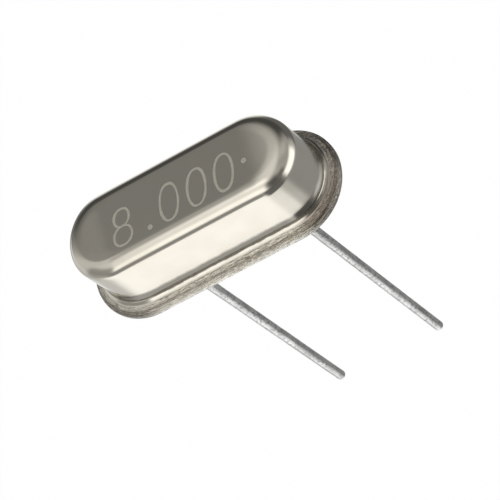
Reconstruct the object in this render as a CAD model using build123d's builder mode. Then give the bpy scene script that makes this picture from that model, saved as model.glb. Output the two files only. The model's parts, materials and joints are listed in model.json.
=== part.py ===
"""Low-profile quartz crystal in a resistance-welded metal can, with two wire leads.

Origin at the centre of the seating plane, under the base. +Z runs up through the can, the leads
run along -Z, X is the length of the can and Y its width. Sizes are in millimetres.
"""

import os

from build123d import *

# Base: a stamped plate with a welding flange and a platform that stands inside the can
base_length = 11.05
base_width = 4.65
base_flange_thickness = 0.25
base_edge_chamfer = 0.05
platform_height = 0.55
platform_edge_chamfer = 0.12
platform_clearance = 0.07

# Cover: one sheet, drawn into a can with a flange
overall_height = 3.50
sheet_thickness = 0.20
top_edge_radius = 0.62
foot_radius = 0.33
weld_land = 0.11
weld_ledge = 0.09
cover_edge_chamfer = 0.05

# Leads, tinned up to the glass and bare above it, and their glass seals
lead_diameter = 0.43
post_diameter = 0.40
lead_pitch = 4.88
lead_length = 15.0
lead_tip_chamfer = 0.08
post_height = 0.35
seal_diameter = 1.30
seal_recess = 0.03
seal_sag = 0.05

# Clips: bent strips, welded on the inner ends of the leads
clip_thickness = 0.10
clip_width = 1.10
clip_corner_radius = 0.15
clip_toe = 0.15
clip_heel = 0.35
clip_rise = 0.34
clip_bend_radius = 0.06
clip_stop_height = 0.32
clip_end_gap = 0.10

# Quartz strip with bevelled ends
blank_length = 8.0
blank_width = 1.80
blank_thickness = 0.415
blank_bevel_length = 0.90
blank_bevel_depth = 0.07

# Silver films on the quartz, each with a tab to one end
film_thickness = 0.02
electrode_length = 4.40
electrode_width = 1.30
electrode_corner_radius = 0.20
tab_width = 0.45
tab_overlap = 0.30

# Conductive adhesive round each end of the quartz
adhesive_diameter = 0.80
adhesive_thickness = 0.06
adhesive_cap = 0.08

# Where the pieces meet, worked out from the sizes above
cover_flange_length = base_length - 2 * weld_ledge
cover_flange_width = base_width - 2 * weld_ledge
flange_reach = weld_land + foot_radius
can_length = cover_flange_length - 2 * flange_reach
can_width = cover_flange_width - 2 * flange_reach
inside_length = can_length - 2 * sheet_thickness
inside_width = can_width - 2 * sheet_thickness
inside_top_z = overall_height - sheet_thickness
flange_top_z = base_flange_thickness + sheet_thickness
platform_length = inside_length - 2 * platform_clearance
platform_width = inside_width - 2 * platform_clearance
platform_top_z = base_flange_thickness + platform_height
lead_x = lead_pitch / 2
lead_radius = lead_diameter / 2
post_radius = post_diameter / 2
post_top_z = platform_top_z + post_height
seal_radius = seal_diameter / 2
seal_top_z = platform_top_z - seal_recess
clip_toe_x = lead_x - post_radius - clip_toe
clip_heel_x = lead_x + post_radius + clip_heel
clip_shelf_z = post_top_z + clip_thickness + clip_rise
blank_end_x = blank_length / 2
clip_stop_x = blank_end_x + clip_end_gap
bevel_start_x = blank_end_x - blank_bevel_length
blank_bottom_z = clip_shelf_z + adhesive_thickness + film_thickness
blank_top_z = blank_bottom_z + blank_thickness
blank_middle_z = (blank_bottom_z + blank_top_z) / 2
adhesive_radius = adhesive_diameter / 2
adhesive_x = clip_stop_x - adhesive_radius
sides = {"left": -1, "right": 1}

os.makedirs("parts", exist_ok=True)


def level_face(builder, z):
    """The flat face of a part that lies nearest to height z."""
    return builder.faces().filter_by(Axis.Z).sort_by(lambda face: abs(face.center().Z - z))[0]


# Base plate
with BuildPart() as base_plate:
    with BuildSketch():
        SlotOverall(base_length, base_width)
    extrude(amount=base_flange_thickness)
    chamfer(base_plate.faces().filter_by(Axis.Z).edges(), length=base_edge_chamfer)
    with BuildSketch():
        SlotOverall(platform_length, platform_width)
    extrude(amount=platform_top_z)
    chamfer(level_face(base_plate, platform_top_z).edges(), length=platform_edge_chamfer)
    with BuildSketch():
        with Locations((-lead_x, 0), (lead_x, 0)):
            Circle(seal_radius)
    extrude(amount=platform_top_z, mode=Mode.SUBTRACT)
base_plate.part.label = "base_plate"
export_step(base_plate.part, "parts/base_plate.step")

# Cover: the can stands on its flange, and both are hollowed to one even sheet
with BuildPart() as cover:
    with BuildSketch(Plane.XY.offset(base_flange_thickness)):
        SlotOverall(cover_flange_length, cover_flange_width)
    extrude(amount=sheet_thickness)
    with BuildSketch(Plane.XY.offset(base_flange_thickness)):
        SlotOverall(can_length, can_width)
    extrude(amount=overall_height - base_flange_thickness)
    fillet(level_face(cover, overall_height).edges(), radius=top_edge_radius)
    fillet(level_face(cover, flange_top_z).inner_wires().edges(), radius=foot_radius)
    chamfer(level_face(cover, flange_top_z).outer_wire().edges(), length=cover_edge_chamfer)
    with BuildSketch(Plane.XY.offset(base_flange_thickness)):
        SlotOverall(inside_length, inside_width)
    extrude(amount=inside_top_z - base_flange_thickness, mode=Mode.SUBTRACT)
    fillet(level_face(cover, inside_top_z).edges(), radius=top_edge_radius - sheet_thickness)
    mouth = level_face(cover, base_flange_thickness).inner_wires().edges()
    fillet(mouth, radius=foot_radius + sheet_thickness)
cover.part.label = "cover"
export_step(cover.part, "parts/cover.step")

# Glass seals: rings that fill the base's holes, with a hollow meniscus underneath
for name, side in sides.items():
    axis_x = side * lead_x
    with BuildPart() as glass_seal:
        with BuildSketch(Plane.XZ):
            with BuildLine():
                under = ThreePointArc(
                    (axis_x + lead_radius, seal_recess),
                    (axis_x + (lead_radius + seal_radius) / 2, seal_recess + seal_sag),
                    (axis_x + seal_radius, seal_recess),
                )
                Polyline(
                    under @ 1,
                    (axis_x + seal_radius, seal_top_z),
                    (axis_x + post_radius, seal_top_z),
                    under @ 0,
                )
            make_face()
        revolve(axis=Axis((axis_x, 0, 0), (0, 0, 1)))
    glass_seal.part.label = f"glass_seal_{name}"
    export_step(glass_seal.part, f"parts/glass_seal_{name}.step")

# Leads: round wires from their bevelled tips, thinning through the glass to the bare posts
for name, side in sides.items():
    axis_x = side * lead_x
    with BuildPart() as lead:
        with BuildSketch(Plane.XZ):
            with BuildLine():
                Polyline(
                    (axis_x, -lead_length),
                    (axis_x + lead_radius, -lead_length),
                    (axis_x + lead_radius, seal_recess),
                    (axis_x + post_radius, seal_top_z),
                    (axis_x + post_radius, post_top_z),
                    (axis_x, post_top_z),
                    close=True,
                )
            make_face()
        revolve(axis=Axis((axis_x, 0, 0), (0, 0, 1)))
        chamfer(level_face(lead, -lead_length).edges(), length=lead_tip_chamfer)
    lead.part.label = f"lead_{name}"
    export_step(lead.part, f"parts/lead_{name}.step")

# Clips: foot on the post, riser, shelf under the quartz and an upturned stop past its end
with BuildPart() as clip_right:
    with BuildSketch(Plane.XZ):
        with BuildLine():
            FilletPolyline(
                (clip_toe_x, post_top_z),
                (clip_heel_x, post_top_z),
                (clip_heel_x, clip_shelf_z - clip_thickness),
                (clip_stop_x + clip_thickness, clip_shelf_z - clip_thickness),
                (clip_stop_x + clip_thickness, clip_shelf_z + clip_stop_height),
                radius=(
                    clip_bend_radius + clip_thickness,
                    clip_bend_radius,
                    clip_bend_radius + clip_thickness,
                ),
            )
            offset(amount=clip_thickness, side=Side.LEFT)
        make_face()
    extrude(amount=clip_width / 2, both=True)
    toe_corners = clip_right.faces().sort_by(Axis.X)[0].edges().filter_by(Axis.Z)
    stop_corners = clip_right.faces().sort_by(Axis.Z)[-1].edges().filter_by(Axis.X)
    fillet(toe_corners + stop_corners, radius=clip_corner_radius)
clip_right.part.label = "clip_right"
export_step(clip_right.part, "parts/clip_right.step")

with BuildPart() as clip_left:
    mirror(clip_right.part, about=Plane.YZ)
clip_left.part.label = "clip_left"
export_step(clip_left.part, "parts/clip_left.step")
clips = {"left": clip_left, "right": clip_right}

# Quartz strip, bevelled above and below at both ends
with BuildPart() as quartz_blank:
    with BuildSketch(Plane.XZ):
        with BuildLine():
            upper = Polyline(
                (-blank_end_x, blank_top_z - blank_bevel_depth),
                (-bevel_start_x, blank_top_z),
                (bevel_start_x, blank_top_z),
                (blank_end_x, blank_top_z - blank_bevel_depth),
            )
            lower = Polyline(
                (-blank_end_x, blank_bottom_z + blank_bevel_depth),
                (-bevel_start_x, blank_bottom_z),
                (bevel_start_x, blank_bottom_z),
                (blank_end_x, blank_bottom_z + blank_bevel_depth),
            )
            Line(upper @ 0, lower @ 0)
            Line(upper @ 1, lower @ 1)
        make_face()
    extrude(amount=blank_width / 2, both=True)
quartz_blank.part.label = "quartz_blank"
export_step(quartz_blank.part, "parts/quartz_blank.step")

# Silver films: the upper one runs to the right end, the lower one to the left end
with BuildPart() as electrode_top:
    with BuildSketch(Plane.XY.offset(blank_top_z)):
        RectangleRounded(electrode_length, electrode_width, electrode_corner_radius)
    extrude(amount=film_thickness)
    with BuildSketch(Plane.XZ):
        with BuildLine():
            Polyline(
                (electrode_length / 2 - tab_overlap, blank_top_z),
                (bevel_start_x, blank_top_z),
                (blank_end_x, blank_top_z - blank_bevel_depth),
            )
            offset(amount=film_thickness, side=Side.LEFT)
        make_face()
    extrude(amount=tab_width / 2, both=True)
electrode_top.part.label = "electrode_top"
export_step(electrode_top.part, "parts/electrode_top.step")

with BuildPart() as electrode_bottom:
    add(electrode_top.part.mirror(Plane.XY.offset(blank_middle_z)).mirror(Plane.YZ))
electrode_bottom.part.label = "electrode_bottom"
export_step(electrode_bottom.part, "parts/electrode_bottom.step")

# Adhesive: a dab from each clip's shelf, round the end of the quartz and over its tab
for name, side in sides.items():
    with BuildPart() as adhesive:
        with BuildSketch(Plane.XY.offset(clip_shelf_z)):
            with Locations((side * adhesive_x, 0)):
                Circle(adhesive_radius)
        extrude(amount=blank_top_z + adhesive_cap - clip_shelf_z)
        add(quartz_blank.part, mode=Mode.SUBTRACT)
        add(electrode_top.part, mode=Mode.SUBTRACT)
        add(electrode_bottom.part, mode=Mode.SUBTRACT)
        add(clips[name].part, mode=Mode.SUBTRACT)
    adhesive.part.label = f"adhesive_{name}"
    export_step(adhesive.part, f"parts/adhesive_{name}.step")
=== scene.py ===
"""Looks of a low-profile quartz crystal: drawn satin can, welded flanges, tinned wire leads."""

import json
import math

import bmesh
import bpy
from mathutils import Matrix, Vector, noise


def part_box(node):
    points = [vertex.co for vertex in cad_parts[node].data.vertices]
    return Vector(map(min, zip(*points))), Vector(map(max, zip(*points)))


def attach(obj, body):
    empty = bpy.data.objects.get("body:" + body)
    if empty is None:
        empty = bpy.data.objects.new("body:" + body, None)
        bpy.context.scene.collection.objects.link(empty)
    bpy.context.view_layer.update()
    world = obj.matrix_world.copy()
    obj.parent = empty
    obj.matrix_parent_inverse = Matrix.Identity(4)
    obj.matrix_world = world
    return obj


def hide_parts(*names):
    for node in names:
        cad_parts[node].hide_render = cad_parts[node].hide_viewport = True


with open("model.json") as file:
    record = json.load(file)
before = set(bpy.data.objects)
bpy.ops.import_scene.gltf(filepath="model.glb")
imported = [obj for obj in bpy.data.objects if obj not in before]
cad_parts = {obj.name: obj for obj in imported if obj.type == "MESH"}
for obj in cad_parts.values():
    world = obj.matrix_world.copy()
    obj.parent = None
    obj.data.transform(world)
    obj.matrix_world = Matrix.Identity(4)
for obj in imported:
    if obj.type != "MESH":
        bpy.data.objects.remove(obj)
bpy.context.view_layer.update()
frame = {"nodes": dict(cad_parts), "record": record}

MM = 0.001
scene = bpy.context.scene

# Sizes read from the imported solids, in metres
cover_low, cover_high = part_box("cover")
_, base_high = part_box("base_plate")
lead_low, lead_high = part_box("lead_right")
seal_low, seal_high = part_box("glass_seal_right")
spine = base_high.x - base_high.y
cover_reach = cover_high.y
base_reach = base_high.y
joint_z = cover_low.z
can_top_z = cover_high.z
platform_top_z = base_high.z
lead_x = (lead_low.x + lead_high.x) / 2
lead_radius = (lead_high.x - lead_low.x) / 2
seal_radius = (seal_high.x - seal_low.x) / 2

# Sizes of the sections, which boxes can't give
sheet = 0.20 * MM
top_edge_radius = 0.62 * MM
foot_radius = 0.33 * MM
weld_land = 0.11 * MM
foot_reach = cover_reach - weld_land
can_reach = foot_reach - foot_radius
top_reach = can_reach - top_edge_radius
flange_edge_radius = 0.06 * MM
flange_corner_radius = 0.02 * MM
base_edge_radius = 0.06 * MM
platform_reach = can_reach - sheet - 0.07 * MM
platform_edge_radius = 0.12 * MM
post_radius = 0.20 * MM
seal_recess = 0.03 * MM
seal_sag = 0.05 * MM
lead_tip_radius = 0.14 * MM

# What drawing left on the can: a top that falls away at its round ends, and a foot of three bends,
# each with its radius and the tilts, in degrees, that it turns from and to
end_slope = 0.105
end_slope_start = spine - 0.15 * MM
end_slope_length = 0.60 * MM
end_slope_foot = 1.9 * MM
end_round = 0.017 * MM
end_round_band = (top_reach - 0.25 * MM, top_reach + 0.14 * MM)
end_round_fade = (end_slope_start - 0.6 * MM, spine + 0.3 * MM)
foot_bends = ((0.12 * MM, 8, 26), (0.50 * MM, 26, 55), (0.11 * MM, 55, 90))
foot_flare = 0.055 * MM
foot_flare_top = 1.05 * MM

# What welding and tinning left. Streaks, waves, lumps and specks are counts in each millimetre, and
# the tin's coat is set in by a share of its relief
weld_squeeze = 0.035 * MM
land_slope = 0.14
weld_relief = 0.004 * MM
weld_streaks_along = 0.8
weld_streaks_across = 9.0
weld_waviness = 0.008 * MM
weld_waves = 1.2
bead_radius = 0.022 * MM
bead_unevenness = 0.8
bead_lumps = 2.2
bead_specks = 7.0
bead_speck_share = 0.6
tin_relief = 0.004 * MM
tin_lumps_across = 3.0
tin_lumps_along = 1.3
tin_fade = 0.5 * MM
tin_inset = 0.5

# Points nearer than this are one, and edges that turn by more degrees than this are shaded sharp
merge_distance = 1e-8
sharp_angle = 50

# How finely a ring round the can is cut, for each straight run and each half turn
RING_RUNS = 80
RING_TURNS = 90

# How finely a full turn of each round piece is cut
LEAD_TURNS = 40
SEAL_TURNS = 48
BEAD_TURNS = 10
DOT_TURNS = 20


def arc(centre_u, centre_z, radius, start, end, steps):
    """Points of a section's arc, from start to end in degrees."""
    angles = [math.radians(start + (end - start) * i / steps) for i in range(steps + 1)]
    return [(centre_u + radius * math.cos(a), centre_z + radius * math.sin(a)) for a in angles]


def straight(start, end, steps):
    """Points inside a straight stretch of a section, without its ends."""
    (u0, z0), (u1, z1) = start, end
    return [(u0 + (u1 - u0) * i / steps, z0 + (z1 - z0) * i / steps) for i in range(1, steps)]


def stadium(reach, z):
    """A ring whose points lie at one distance from the can's spine."""
    points = []
    for side in (-1, 1):
        for i in range(RING_RUNS):
            points.append(Vector((side * spine * (1 - 2 * i / RING_RUNS), side * reach, z)))
        for i in range(RING_TURNS):
            angle = math.radians(side * 90 + 180 * i / RING_TURNS)
            points.append(Vector((-side * spine + reach * math.cos(angle), reach * math.sin(angle), z)))
    return points


def off_spine(point):
    """A point's level distance from the can's spine."""
    return math.hypot(max(abs(point.x) - spine, 0.0), point.y)


def circle(x, radius, z, turns):
    """A level circle round the line at x."""
    angles = [2 * math.pi * i / turns for i in range(turns)]
    return [Vector((x + radius * math.cos(a), radius * math.sin(a), z)) for a in angles]


def smooth(value, low, high):
    """Rises from 0 to 1 between low and high."""
    share = min(max((value - low) / (high - low), 0.0), 1.0)
    return share * share * (3 - 2 * share)


def ripple(x, y, scale, layer):
    """Smooth noise over a level place in millimetres; each layer has a pattern of its own."""
    return noise.noise(Vector((x * scale, y * scale, layer)))


def skin(mesh, rings, closed=False):
    """Joins each ring to the next with quads."""
    rows = [[mesh.verts.new(point) for point in ring] for ring in rings]
    pairs = list(zip(rows, rows[1:]))
    if closed:
        pairs.append((rows[-1], rows[0]))
    for lower, upper in pairs:
        for i, vertex in enumerate(lower):
            following = (i + 1) % len(lower)
            mesh.faces.new((vertex, lower[following], upper[following], upper[i]))
    return rows


def weld(mesh):
    """Merges the points that coincide and turns all faces outwards."""
    bmesh.ops.remove_doubles(mesh, verts=mesh.verts, dist=merge_distance)
    bmesh.ops.recalc_face_normals(mesh, faces=mesh.faces)
    mesh.normal_update()


def piece(name, mesh, material, slot, *nodes):
    """Makes a riding object of a mesh, standing for the named nodes."""
    data = bpy.data.meshes.new(name)
    mesh.to_mesh(data)
    mesh.free()
    data.polygons.foreach_set("use_smooth", [True] * len(data.polygons))
    data.set_sharp_from_angle(angle=math.radians(sharp_angle))
    data.materials.append(material)
    made = bpy.data.objects.new(name, data)
    scene.collection.objects.link(made)
    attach(made, "root")
    if nodes:
        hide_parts(*nodes)


# Materials


class Graph:
    """A small builder of node trees, for a material or a world."""

    def __init__(self, owner):
        owner.use_nodes = True
        self.nodes = owner.node_tree.nodes
        self.links = owner.node_tree.links
        self.place = self.nodes.new("ShaderNodeTexCoord").outputs["Object"]

    def link(self, value, socket):
        """Feeds a socket from another node, or sets it to a constant."""
        if isinstance(value, bpy.types.NodeSocket):
            self.links.new(value, socket)
        else:
            socket.default_value = value

    def math(self, operation, first, second=0.0):
        """One arithmetic step."""
        node = self.nodes.new("ShaderNodeMath")
        node.operation = operation
        self.link(first, node.inputs[0])
        self.link(second, node.inputs[1])
        return node.outputs[0]

    def product(self, first, *others):
        """Multiplies two values or more."""
        for other in others:
            first = self.math("MULTIPLY", first, other)
        return first

    def split(self, vector):
        """The three parts of a vector."""
        node = self.nodes.new("ShaderNodeSeparateXYZ")
        self.links.new(vector, node.inputs["Vector"])
        return node.outputs

    def spread(self, value, low, high, to_low=0.0, to_high=1.0):
        """Maps one range to another, smoothly and clamped."""
        node = self.nodes.new("ShaderNodeMapRange")
        node.interpolation_type = "SMOOTHSTEP"
        ends = (value, low, high, to_low, to_high)
        for socket, number in zip(("Value", "From Min", "From Max", "To Min", "To Max"), ends):
            self.link(number, node.inputs[socket])
        return node.outputs["Result"]

    def vary(self, texture, low=0.0, high=1.0):
        """Maps the range that most of a fractal noise lies in to another."""
        return self.spread(texture, 0.3, 0.7, low, high)

    def blend(self, factor, first, second):
        """A blend of two numbers."""
        node = self.nodes.new("ShaderNodeMix")
        for index, value in ((0, factor), (2, first), (3, second)):
            self.link(value, node.inputs[index])
        return node.outputs[0]

    def stretched(self, scale):
        """The object's coordinates, in millimetres times scale along each axis."""
        mapping = self.nodes.new("ShaderNodeMapping")
        mapping.inputs["Scale"].default_value = [factor / MM for factor in scale]
        self.links.new(self.place, mapping.inputs["Vector"])
        return mapping.outputs["Vector"]

    def millimetres(self):
        """The object's x, y and z in millimetres, and its level distance from the can's spine."""
        x, y, z = self.split(self.stretched((1, 1, 1)))
        past_spine = self.math("SUBTRACT", self.math("ABSOLUTE", x), spine / MM)
        past_spine = self.math("MAXIMUM", past_spine, 0.0)
        square = self.math("ADD", self.math("POWER", past_spine, 2), self.product(y, y))
        return x, y, z, self.math("SQRT", square)

    def along_rim(self, along, across):
        """Coordinates that run round the flange at one scale and across its edge at another."""
        x, y, z, away = self.millimetres()
        vector = self.nodes.new("ShaderNodeCombineXYZ")
        self.link(self.product(x, along), vector.inputs["X"])
        self.link(self.product(y, along), vector.inputs["Y"])
        self.link(self.product(self.math("SUBTRACT", away, z), across), vector.inputs["Z"])
        return vector.outputs["Vector"]

    def noise(self, vector, detail=3.0, roughness=0.5):
        """Fractal noise of a vector, one feature to each unit."""
        texture = self.nodes.new("ShaderNodeTexNoise")
        self.links.new(vector, texture.inputs["Vector"])
        texture.inputs["Scale"].default_value = 1.0
        texture.inputs["Detail"].default_value = detail
        texture.inputs["Roughness"].default_value = roughness
        return texture.outputs["Fac"]

    def cells(self, vector):
        """Distance to the nearest of scattered points."""
        texture = self.nodes.new("ShaderNodeTexVoronoi")
        self.links.new(vector, texture.inputs["Vector"])
        texture.inputs["Scale"].default_value = 1.0
        return texture.outputs["Distance"]

    def mix(self, factor, first, second):
        """A blend of two colours."""
        node = self.nodes.new("ShaderNodeMix")
        node.data_type = "RGBA"
        for index, value in ((0, factor), (6, first), (7, second)):
            self.link(value, node.inputs[index])
        return node.outputs[2]


class Shader(Graph):
    """A material's node tree."""

    def __init__(self, name):
        self.material = bpy.data.materials.new(name)
        super().__init__(self.material)
        self.surface = self.nodes["Principled BSDF"]

    def bump(self, *layers):
        """Stacks (height, depth in millimetres) layers of relief on the surface."""
        normal = None
        for height, depth in layers:
            node = self.nodes.new("ShaderNodeBump")
            node.inputs["Distance"].default_value = depth * MM
            self.link(height, node.inputs["Height"])
            if normal is not None:
                self.links.new(normal, node.inputs["Normal"])
            normal = node.outputs["Normal"]
        self.links.new(normal, self.surface.inputs["Normal"])

    def finish(self, **sockets):
        """Sets the surface's sockets, with spaces written as underscores."""
        for name, value in sockets.items():
            self.link(value, self.surface.inputs[name.replace("_", " ")])
        return self.material


def rgb(red, green, blue):
    """A linear colour from plain 0 to 255 display values."""
    shares = [value / 255 for value in (red, green, blue)]
    return [s / 12.92 if s <= 0.04045 else ((s + 0.055) / 1.055) ** 2.4 for s in shares] + [1.0]


def welded(shader, zone):
    """How much the weld burnt the metal, and the (height, depth) layers it left, inside a zone."""
    streaks = shader.noise(shader.along_rim(1.5, 9.0), 3, 0.5)
    fine_streaks = shader.noise(shader.along_rim(3.6, 18.0), 3, 0.6)
    nicks = shader.noise(shader.along_rim(4.5, 13.0), 2, 0.5)
    specks = shader.cells(shader.along_rim(7.0, 12.0))
    patches = shader.noise(shader.stretched((0.9, 0.9, 1.5)), 3)
    burnt = shader.product(zone, shader.spread(fine_streaks, 0.54, 0.66))
    burnt = shader.product(burnt, shader.spread(patches, 0.40, 0.62, 0.3, 1.0))
    dents = shader.spread(nicks, 0.54, 0.62)
    dots = shader.spread(specks, 0.10, 0.32, 1.0, 0.0)
    depths = ((streaks, 0.055), (fine_streaks, 0.012), (dents, 0.012), (dots, 0.010))
    return burnt, [(shader.product(zone, height), depth) for height, depth in depths]


def can_metal():
    """Drawn nickel silver: satin, faintly mottled, streaked and tinted along the weld."""
    shader = Shader("can_metal")
    foot = foot_reach / MM
    rim = cover_reach / MM
    mottle = shader.noise(shader.stretched((0.8, 0.8, 0.8)), 3)
    grain = shader.noise(shader.stretched((26, 26, 26)), 2)
    uneven = shader.noise(shader.stretched((3.0, 3.0, 3.0)), 3)
    along, across, height, away = shader.millimetres()
    low = shader.spread(height, 0.50, 0.56, 1.0, 0.0)

    # The flange's welded land, burnt least at the front
    zone = shader.product(low, shader.spread(away, foot - 0.18, foot - 0.06))
    burnt, relief = welded(shader, zone)
    burnt = shader.product(burnt, shader.spread(across, -2.0, -1.2, 0.35, 0.6))

    # Painted shade in a band round the foot of the wall, in the crease where it bends into the flange,
    # higher at the left end and paler at the right end
    level = shader.math("ADD", height, shader.vary(uneven, -0.02, 0.02))
    level = shader.math("SUBTRACT", level, shader.spread(along, -3.9, -2.8, 0.14, 0.0))
    painted_foot_shade = shader.product(
        shader.spread(level, 0.54, 0.62),
        shader.spread(level, 0.88, 1.08, 1.0, 0.0),
        shader.spread(along, 2.9, 3.9, 0.9, 0.45),
    )

    # A darker, brownish tint over the right end's land, strongest in front
    right_end_tint = shader.product(
        low,
        shader.spread(away, foot - 0.25, foot - 0.19),
        shader.spread(along, 2.9, 3.9, 0.0, 0.9),
        shader.spread(across, -1.4, 0.2, 1.0, 0.5),
    )

    # A darker line along the upper part of the flange's outer edge
    edge = shader.product(
        low,
        shader.spread(away, rim - 0.09, rim - 0.05),
        shader.spread(height, 0.30, 0.36, 0.0, 0.6),
    )

    colour = shader.mix(shader.vary(mottle), rgb(240, 235, 223), rgb(236, 231, 218))
    # Painted shade at the foot of the wall
    colour = shader.mix(painted_foot_shade, colour, rgb(126, 123, 116))
    colour = shader.mix(right_end_tint, colour, rgb(160, 149, 138))
    colour = shader.mix(edge, colour, rgb(128, 118, 108))
    colour = shader.mix(burnt, colour, rgb(128, 116, 105))
    satin = shader.vary(mottle, 0.15, 0.19)
    roughness = shader.math("SUBTRACT", satin, shader.product(zone, 0.02))
    shader.bump((mottle, 0.0025), (grain, 0.0003), *relief)
    return shader.finish(Metallic=1.0, Base_Color=colour, Roughness=roughness)


def base_metal():
    """Nickel-plated steel, streaked and tinted at its welded edge, and darker there towards the ends."""
    shader = Shader("base_metal")
    foot = foot_reach / MM
    mottle = shader.noise(shader.stretched((1.2, 1.2, 1.2)), 3)
    grain = shader.noise(shader.stretched((30, 30, 30)), 2)
    along, _, _, away = shader.millimetres()
    zone = shader.spread(away, foot - 0.05, foot)
    burnt, relief = welded(shader, zone)
    ends = shader.spread(shader.math("ABSOLUTE", along), 2.6, 4.2, 0.0, 0.8)
    colour = shader.mix(shader.product(zone, ends), rgb(237, 233, 223), rgb(158, 153, 143))
    colour = shader.mix(shader.product(burnt, 0.5), colour, rgb(118, 105, 94))
    satin = shader.vary(mottle, 0.22, 0.28)
    roughness = shader.math("SUBTRACT", satin, shader.product(zone, 0.06))
    shader.bump((mottle, 0.002), (grain, 0.0004), *relief)
    return shader.finish(Metallic=1.0, Base_Color=colour, Roughness=roughness)


def lead_metal():
    """Tinned copper-clad wire: drawn along its length, with a slightly uneven coat."""
    shader = Shader("lead_metal")
    drawn = shader.noise(shader.stretched((22, 22, 0.6)), 3)
    coat = shader.noise(shader.stretched((3.0, 3.0, 1.2)), 4)
    grain = shader.noise(shader.stretched((9, 9, 6)), 3)
    colour = shader.mix(shader.spread(coat, 0.35, 0.7), rgb(236, 236, 234), rgb(206, 206, 205))
    colour = shader.mix(shader.spread(grain, 0.50, 0.66), colour, rgb(180, 180, 178))
    roughness = shader.vary(grain, 0.12, 0.28)
    shader.bump((coat, 0.010), (drawn, 0.002), (grain, 0.008))
    return shader.finish(Metallic=1.0, Base_Color=colour, Roughness=roughness)


def clip_metal():
    """Spring strip, rolled along its length."""
    shader = Shader("clip_metal")
    rolled = shader.noise(shader.stretched((2, 40, 2)), 2)
    roughness = shader.vary(rolled, 0.22, 0.36)
    shader.bump((rolled, 0.0008))
    return shader.finish(Metallic=1.0, Base_Color=rgb(226, 220, 204), Roughness=roughness)


def silver_film():
    """Evaporated silver, matte from the lapped quartz below."""
    shader = Shader("silver_film")
    lapped = shader.noise(shader.stretched((60, 60, 60)), 2)
    shader.bump((lapped, 0.0006))
    roughness = shader.vary(lapped, 0.28, 0.42)
    return shader.finish(Metallic=1.0, Base_Color=rgb(240, 238, 232), Roughness=roughness)


def silver_adhesive():
    """Silver-filled epoxy: grey, grainy and slightly glossy."""
    shader = Shader("silver_adhesive")
    flakes = shader.cells(shader.stretched((45, 45, 45)))
    lumps = shader.noise(shader.stretched((4, 4, 4)), 3)
    shader.bump((lumps, 0.02), (flakes, 0.002))
    colour = shader.mix(shader.spread(flakes, 0.1, 0.6), rgb(176, 174, 168), rgb(128, 126, 121))
    return shader.finish(Metallic=0.35, Base_Color=colour, Roughness=0.5)


def seal_glass():
    """Dark fused glass with a few bubbles."""
    shader = Shader("seal_glass")
    bubbles = shader.spread(shader.cells(shader.stretched((7, 7, 7))), 0.10, 0.16)
    swirl = shader.noise(shader.stretched((3, 3, 3)), 3)
    shader.bump((bubbles, 0.004))
    colour = shader.mix(shader.spread(swirl, 0.35, 0.65), rgb(38, 52, 58), rgb(58, 74, 78))
    return shader.finish(Base_Color=colour, Roughness=0.12, Coat_Weight=0.5, Coat_Roughness=0.05)


def quartz():
    """Lapped clear quartz, frosted by its grinding."""
    shader = Shader("quartz")
    lapped = shader.noise(shader.stretched((80, 80, 80)), 2)
    shader.bump((lapped, 0.0008))
    roughness = shader.vary(lapped, 0.22, 0.38)
    colour = rgb(238, 242, 243)
    return shader.finish(Base_Color=colour, Roughness=roughness, IOR=1.544, Transmission_Weight=0.9)


def mark_metal():
    """The can's metal where the numerals are etched: pale and frosted."""
    shader = Shader("mark_metal")
    frost = shader.noise(shader.stretched((22, 22, 22)), 3)
    shader.bump((frost, 0.0015))
    colour = shader.mix(shader.spread(frost, 0.35, 0.65), rgb(226, 223, 209), rgb(206, 203, 190))
    return shader.finish(Metallic=0.15, Base_Color=colour, Roughness=0.75, Specular_IOR_Level=0.3)


materials = {
    "can_metal": can_metal(),
    "base_metal": base_metal(),
    "lead_metal": lead_metal(),
    "clip_metal": clip_metal(),
    "silver_film": silver_film(),
    "silver_adhesive": silver_adhesive(),
    "seal_glass": seal_glass(),
    "quartz": quartz(),
}


# Cover


def foot_curve():
    """From the land up to the wall: bends of one radius each, between two tilts in degrees."""
    points = [(0.0, 0.0)]
    for radius, start, end in foot_bends:
        reach, z = points[-1]
        tilt = math.radians(start)
        centre = (reach + radius * math.sin(tilt), z + radius * math.cos(tilt))
        points += arc(*centre, radius, -90 - start, -90 - end, steps=9)
    return points


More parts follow.
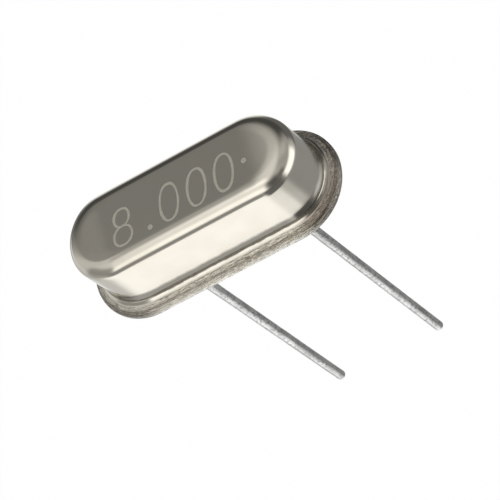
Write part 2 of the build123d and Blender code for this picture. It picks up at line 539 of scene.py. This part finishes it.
def cover_section():
    """The sheet's section from the middle of the ceiling, round the flange, to the middle of the top."""
    foot = foot_curve()
    foot_width, foot_height = -foot[-1][0], foot[-1][1]
    land_start = can_reach + foot_flare + foot_width
    land_top = joint_z + sheet - weld_squeeze
    bend_top = land_top + foot_height
    wall_top = can_top_z - top_edge_radius
    mouth = foot_radius + sheet
    inner = can_reach - sheet
    ceiling = can_top_z - sheet
    edge_start = cover_reach - flange_edge_radius
    edge_top = land_top - land_slope * (edge_start - land_start)
    corner = cover_reach - flange_corner_radius
    points = [(0.0, ceiling)]
    points += straight((0.0, ceiling), (top_reach, ceiling), steps=6)
    points += arc(top_reach, wall_top, top_edge_radius - sheet, 90, 0, steps=8)
    points += straight((inner, wall_top), (inner, joint_z + mouth), steps=3)
    points += arc(foot_reach, joint_z + mouth, mouth, 180, 270, steps=8)
    points += arc(corner, joint_z + flange_corner_radius, flange_corner_radius, -90, 0, steps=3)
    edge_side = (cover_reach, joint_z + flange_corner_radius), (cover_reach, edge_top - flange_edge_radius)
    points += straight(*edge_side, steps=6)
    points += arc(edge_start, edge_top - flange_edge_radius, flange_edge_radius, 0, 80, steps=6)
    points += straight((edge_start, edge_top), (land_start, land_top), steps=8)
    points += [(land_start + reach, land_top + z) for reach, z in foot]
    for _, z in straight((0.0, bend_top), (0.0, foot_flare_top), steps=10):
        points.append((can_reach + foot_flare * (1 - smooth(z, bend_top, foot_flare_top)), z))
    points += straight((can_reach, foot_flare_top), (can_reach, wall_top), steps=12)
    points += arc(top_reach, wall_top, top_edge_radius, 0, 90, steps=24)
    points += straight((top_reach, can_top_z), (0.0, can_top_z), steps=14)
    points.append((0.0, can_top_z))
    return points


def end_drop(point):
    """How far the top falls away towards its two round ends, where the sheet was drawn hardest."""
    past = max(abs(point.x) - end_slope_start, 0.0)
    curve = end_slope_length * (1 - math.exp(-past / end_slope_length))
    rounding = end_round * smooth(off_spine(point), *end_round_band)
    rounding *= smooth(abs(point.x), *end_round_fade)
    return (end_slope * (past - curve) + rounding) * smooth(point.z, end_slope_foot, can_top_z - sheet)


def weld_displacement(point):
    """Streaks and waves that the welding electrodes left in the flanges."""
    x, y, z = point / MM
    across = off_spine(point) / MM - z
    streak = ripple(x, y, weld_streaks_along, across * weld_streaks_across)
    wave = ripple(x, y, weld_waves, layer=5.0)
    return streak * weld_relief + wave * weld_waviness


def cover():
    """One drawn sheet: flange, hollow foot, wall, round shoulder and flat top."""
    mesh = bmesh.new()
    skin(mesh, [stadium(reach, z) for reach, z in cover_section()])
    weld(mesh)
    for vertex in mesh.verts:
        point = vertex.co
        away = off_spine(point)
        outside = point.z > joint_z + sheet / 2 or away > foot_reach + weld_land / 2
        if outside and point.z > joint_z + flange_corner_radius / 2:
            near = smooth(away, foot_reach - foot_radius / 3, foot_reach)
            vertex.co = point + vertex.normal * weld_displacement(point) * near
        vertex.co.z -= end_drop(point)
    piece("can_cover", mesh, materials["can_metal"], "can_metal", "cover")


cover()


# Base plate


def base_plate():
    """Flange and platform, with round holes for the two seals."""
    mesh = bmesh.new()
    edge = base_reach - base_edge_radius
    shoulder = platform_reach - platform_edge_radius
    edge_side = (base_reach, base_edge_radius), (base_reach, joint_z - base_edge_radius)
    rim = [(edge - base_edge_radius, 0.0)]
    rim += arc(edge, base_edge_radius, base_edge_radius, -90, 0, steps=6)
    rim += straight(*edge_side, steps=6)
    rim += arc(edge, joint_z - base_edge_radius, base_edge_radius, 0, 90, steps=6)
    rim += straight((edge, joint_z), (platform_reach, joint_z), steps=6)
    rim.append((platform_reach, joint_z))
    rim += arc(shoulder, platform_top_z - platform_edge_radius, platform_edge_radius, 0, 90, steps=5)
    rows = skin(mesh, [stadium(reach, z) for reach, z in rim])
    holes = []
    for side in (-1, 1):
        rings = [circle(side * lead_x, seal_radius, z, SEAL_TURNS) for z in (0.0, platform_top_z)]
        holes.append(skin(mesh, rings))
    for level in (0, -1):
        edges = []
        for loop in [rows[level]] + [hole[level] for hole in holes]:
            edges += [mesh.edges.get((vertex, loop[i - 1])) for i, vertex in enumerate(loop)]
        bmesh.ops.triangle_fill(mesh, use_beauty=True, edges=edges)
    weld(mesh)
    for vertex in mesh.verts:
        point = vertex.co
        near = smooth(off_spine(point), edge - base_edge_radius, base_reach)
        near *= smooth(point.z, 0.0, joint_z / 4)
        vertex.co = point + vertex.normal * weld_displacement(point) * near
    piece("base_flange", mesh, materials["base_metal"], "base_metal", "base_plate")


base_plate()


def weld_bead():
    """The thin line of metal squeezed out between the two flanges."""
    mesh = bmesh.new()
    rings = []
    for i in range(BEAD_TURNS):
        angle = 2 * math.pi * i / BEAD_TURNS
        ring = []
        for point in stadium(cover_reach, joint_z):
            x, y, _ = point / MM
            lump = ripple(x, y, bead_lumps, layer=1.0)
            lump += bead_speck_share * ripple(x, y, bead_specks, layer=3.0)
            radius = bead_radius * (1.0 + bead_unevenness * lump)
            centre = Vector((math.copysign(min(abs(point.x), spine), point.x), 0.0, 0.0))
            outwards = Vector((point.x - centre.x, point.y, 0.0)).normalized()
            rise = Vector((0.0, 0.0, radius * math.sin(angle)))
            ring.append(point + outwards * radius * math.cos(angle) + rise)
        rings.append(ring)
    skin(mesh, rings, closed=True)
    weld(mesh)
    piece("weld_bead", mesh, materials["base_metal"], "base_metal")


weld_bead()


# Leads and seals


def revolved(name, x, section, turns, slot, node, closed=False, relief=0.0):
    """A round piece about the line at x, from (radius, height) points."""
    mesh = bmesh.new()
    skin(mesh, [circle(x, radius, z, turns) for radius, z in section], closed)
    weld(mesh)
    for vertex in mesh.verts:
        px, py, pz = vertex.co / MM
        lump = ripple(px, py, tin_lumps_across, pz * tin_lumps_along)
        below = smooth(-vertex.co.z, 0.0, tin_fade)
        vertex.co = vertex.co + vertex.normal * (lump - tin_inset) * relief * below
    piece(name, mesh, materials[slot], slot, node)


def lead_section():
    """A wire with a rounded tip, thinned above the glass."""
    tip_z = lead_low.z
    post_z = lead_high.z
    seal_top = platform_top_z - seal_recess
    points = [(0.0, tip_z)]
    points += arc(lead_radius - lead_tip_radius, tip_z + lead_tip_radius, lead_tip_radius, -90, 0, steps=6)
    points += straight((lead_radius, tip_z + lead_tip_radius), (lead_radius, seal_recess), steps=150)
    points += [(lead_radius, seal_recess), (post_radius, seal_top), (post_radius, post_z), (0.0, post_z)]
    return points


def seal_section():
    """A glass ring with a hollow meniscus underneath."""
    top = platform_top_z - seal_recess
    middle = (lead_radius + seal_radius) / 2
    half = (seal_radius - lead_radius) / 2
    steps = 12
    shares = [2 * i / steps - 1 for i in range(steps + 1)]
    points = [(middle + half * share, seal_recess + seal_sag * (1 - share * share)) for share in shares]
    return points + [(seal_radius, top), (post_radius, top)]


for name, side in (("left", -1), ("right", 1)):
    place = side * lead_x
    lead = (f"wire_{name}", place, lead_section(), LEAD_TURNS, "lead_metal", f"lead_{name}")
    seal = (f"seal_{name}", place, seal_section(), SEAL_TURNS, "seal_glass", f"glass_seal_{name}")
    revolved(*lead, relief=tin_relief)
    revolved(*seal, closed=True)


# Every solid takes its finish here, and the inner ones stay in view

for entry in frame["record"]["subparts"]:
    node = frame["nodes"][entry["node"]]
    node.data.materials.clear()
    node.data.materials.append(materials[entry["material_slot"]])


# Numerals on the top

numeral_height = 1.50 * MM
numeral_width = 0.80 * MM
numeral_y = -0.28 * MM
numeral_slant = 0.15
oval_power = 0.85
stroke_width = 0.10 * MM
stroke_unevenness = 0.35
stroke_lumps = 2.5
stroke_crest = 0.8
stroke_rise = 0.003 * MM
dot_radius = 0.11 * MM


def oval(middle, height, width, steps=48):
    """A closed loop, a little fuller than an ellipse, in shares of a numeral's height and width."""
    loop = []
    for i in range(steps):
        across, up = math.sin(2 * math.pi * i / steps), math.cos(2 * math.pi * i / steps)
        bulge = math.copysign(abs(across) ** oval_power, across)
        loop.append((width / 2 * bulge, middle + height / 2 * up))
    return loop


NUMERALS = {"0": [oval(0.0, 1.0, 1.0)], "8": [oval(0.26, 0.48, 0.84), oval(-0.24, 0.52, 1.0)]}

# Which numeral stands at each place along the top, and where its two dots are
MARKS = (("8", -2.35 * MM), ("0", -0.24 * MM), ("0", 0.99 * MM), ("0", 2.20 * MM))
DOTS = ((-1.25 * MM, -0.89 * MM), (3.10 * MM, -0.24 * MM))


def stroke(mesh, path, rise):
    """A thin raised band along a closed path."""
    rows = []
    for i, point in enumerate(path):
        along = (path[(i + 1) % len(path)] - path[i - 1]).normalized()
        width = stroke_width * (1 + stroke_unevenness * noise.noise(point / MM * stroke_lumps))
        across = Vector((-along.y, along.x, 0.0)) * width / 2
        crest = across * stroke_crest
        up = Vector((0.0, 0.0, rise))
        rows.append([point - across, point - crest + up, point + crest + up, point + across])
    skin(mesh, [list(ring) for ring in zip(*rows)])


def numerals():
    """Frosted strokes that stand a hair over the can's top."""
    mesh = bmesh.new()
    for sign, place in MARKS:
        for order, loop in enumerate(NUMERALS[sign]):
            path = []
            for across, up in loop:
                x = place + across * numeral_width + numeral_slant * up * numeral_height
                path.append(Vector((x, numeral_y + up * numeral_height, can_top_z)))
            stroke(mesh, path, stroke_rise * (1 + order))
    for x, y in DOTS:
        rings = []
        for share, rise in ((1.0, 0.0), (stroke_crest, stroke_rise), (0.0, stroke_rise)):
            ring = circle(x, dot_radius * share, can_top_z + rise, DOT_TURNS)
            rings.append([point + Vector((0.0, y, 0.0)) for point in ring])
        skin(mesh, rings)
    weld(mesh)
    piece("top_numerals", mesh, mark_metal(), "can_metal")


numerals()


# Stage: floor, studio and camera

floor_z = -60 * MM
floor_size = 1.2
floor_glow = 0.94
floor_grey = (0.12, 0.12, 0.12, 1.0)
studio_fill = 0.40
studio_tint = (1.0, 0.99, 0.965, 1.0)

# Soft boxes, walls and black flags round the part, in degrees: where each starts and ends across
# (0 is +X and 90 is +Y) and up, how soft its sides and its top and bottom are, and how bright it is
CARDS = (
    (-200, 200, 60, 120, 10, 26, 0.70),
    (-200, 200, -120, -40, 10, 30, 0.60),
    (122, 200, 60, 76, 24, 12, 0.26),
    (143, 234, 36, 66, 20, 20, 0.62),
    (164, 234, -18, 30, 16, 30, 0.28),
    (154, 182, -20, 58, 12, 12, 0.56),
    (-136, -68, 54, 82, 30, 20, 1.14),
    (-128, -84, 36, 60, 14, 12, 0.88),
    (-119, -86, 8, 38, 10, 12, 1.18),
    (-81, -46, 2, 46, 16, 24, 0.09),
    (-52, -26, -46, 34, 14, 20, 0.14),
    (-150, -90, -78, -20, 36, 14, 1.08),
    (-97, -50, -46, 4, 8, 5, 0.07),
    (-20, 26, 0, 62, 32, 24, 0.34),
    (6, 34, 26, 60, 20, 20, 0.46),
    (-40, 14, -30, 8, 14, 12, 1.26),
    (-50, 44, -54, -37, 16, 10, 0.26),
    (38, 142, -8, 44, 26, 30, 0.06),
    (106, 146, 40, 63, 14, 8, 0.19),
    (127, 150, 40, 58, 8, 10, 0.27),
    (30, 86, -47, 4, 16, 8, 0.07),
    (88, 124, -47, -14, 12, 16, 0.80),
    (120, 148, -44, 4, 14, 12, 0.12),
    (140, 160, -30, -6, 10, 12, 0.60),
    (-136, -100, -20, 2, 12, 6, 0.20),
    (160, 200, -78, -28, 20, 20, 0.54),
    (-104, -66, -78, -46, 16, 4, 0.88),
    (-66, -42, -78, -46, 18, 4, 0.48),
    (-42, 88, -78, -46, 20, 4, 0.22),
    (112, 162, -78, -46, 16, 8, 0.78),
)


def studio_light(graph, direction):
    """How bright the studio is in a direction."""
    unit = graph.nodes.new("ShaderNodeVectorMath")
    unit.operation = "NORMALIZE"
    graph.links.new(direction, unit.inputs[0])
    x, y, z = graph.split(unit.outputs["Vector"])
    across = graph.math("DEGREES", graph.math("ARCTAN2", y, x))
    up = graph.math("DEGREES", graph.math("ARCSINE", z))
    level = studio_fill
    for left, right, bottom, top, soft_sides, soft_ends, brightness in CARDS:
        away = graph.math("ABSOLUTE", graph.math("SUBTRACT", across, (left + right) / 2))
        away = graph.math("MINIMUM", away, graph.math("SUBTRACT", 360.0, away))
        half = (right - left) / 2
        inside = graph.spread(away, half - soft_sides / 2, half + soft_sides / 2, 1.0, 0.0)
        over = graph.spread(up, bottom - soft_ends / 2, bottom + soft_ends / 2)
        under = graph.spread(up, top - soft_ends / 2, top + soft_ends / 2, 1.0, 0.0)
        level = graph.blend(graph.product(over, under, inside), level, brightness)
    return level


def floor():
    """A plain white floor, lit in pools like the rest of the studio, that keeps the part's shadow."""
    mesh = bmesh.new()
    bmesh.ops.create_grid(mesh, x_segments=1, y_segments=1, size=floor_size)
    bmesh.ops.translate(mesh, verts=mesh.verts, vec=(0, 0, floor_z))
    data = bpy.data.meshes.new("floor")
    mesh.to_mesh(data)
    mesh.free()
    made = bpy.data.objects.new("floor", data)
    scene.collection.objects.link(made)
    shader = Shader("floor")
    path = shader.nodes.new("ShaderNodeLightPath").outputs
    seen = shader.math("MAXIMUM", path["Is Camera Ray"], path["Is Transmission Ray"])
    pools = shader.product(studio_light(shader, shader.place), path["Is Glossy Ray"])
    strength = shader.math("MAXIMUM", shader.product(seen, floor_glow), pools)
    glow = shader.nodes.new("ShaderNodeEmission")
    shader.link(strength, glow.inputs["Strength"])
    shader.finish(Base_Color=floor_grey, Roughness=0.9, Specular_IOR_Level=0.0)
    both = shader.nodes.new("ShaderNodeAddShader")
    shader.links.new(shader.surface.outputs["BSDF"], both.inputs[0])
    shader.links.new(glow.outputs["Emission"], both.inputs[1])
    shader.links.new(both.outputs["Shader"], shader.nodes["Material Output"].inputs["Surface"])
    data.materials.append(shader.material)


floor()


def studio():
    """White behind the part, and the studio's soft boxes and flags in its metal."""
    world = bpy.data.worlds.new("studio")
    scene.world = world
    graph = Graph(world)
    path = graph.nodes.new("ShaderNodeLightPath").outputs
    seen = graph.math("MAXIMUM", path["Is Camera Ray"], path["Is Transmission Ray"])
    around = graph.nodes["Background"]
    around.inputs["Color"].default_value = studio_tint
    direction = graph.nodes.new("ShaderNodeTexCoord").outputs["Generated"]
    graph.link(studio_light(graph, direction), around.inputs["Strength"])
    white = graph.nodes.new("ShaderNodeBackground")
    white.inputs["Color"].default_value = (1.0, 1.0, 1.0, 1.0)
    either = graph.nodes.new("ShaderNodeMixShader")
    graph.link(seen, either.inputs[0])
    graph.links.new(around.outputs["Background"], either.inputs[1])
    graph.links.new(white.outputs["Background"], either.inputs[2])
    graph.links.new(either.outputs["Shader"], graph.nodes["World Output"].inputs["Surface"])


studio()

camera_azimuth = 31.53
camera_elevation = 53.38
camera_roll = 54.0
camera_distance = 105.77 * MM
camera_aim = Vector((0.616, -1.059, -0.910)) * MM
camera_lens = 198.0
camera_sensor_width = 36.0
camera_clip_start = 1 * MM


def camera():
    """Looks at the aim from the photograph's side, turned about its own axis by the roll."""
    data = bpy.data.cameras.new("camera")
    data.lens = camera_lens
    data.sensor_width = camera_sensor_width
    data.clip_start = camera_clip_start
    made = bpy.data.objects.new("camera", data)
    scene.collection.objects.link(made)
    turn = Matrix.Rotation(math.radians(camera_azimuth), 4, "Z")
    tilt = Matrix.Rotation(math.radians(90 - camera_elevation), 4, "X")
    roll = Matrix.Rotation(math.radians(-camera_roll), 4, "Z")
    back = Matrix.Translation((0, 0, camera_distance))
    made.matrix_world = Matrix.Translation(camera_aim) @ turn @ tilt @ roll @ back
    scene.camera = made


camera()

scene.view_settings.view_transform = "Standard"
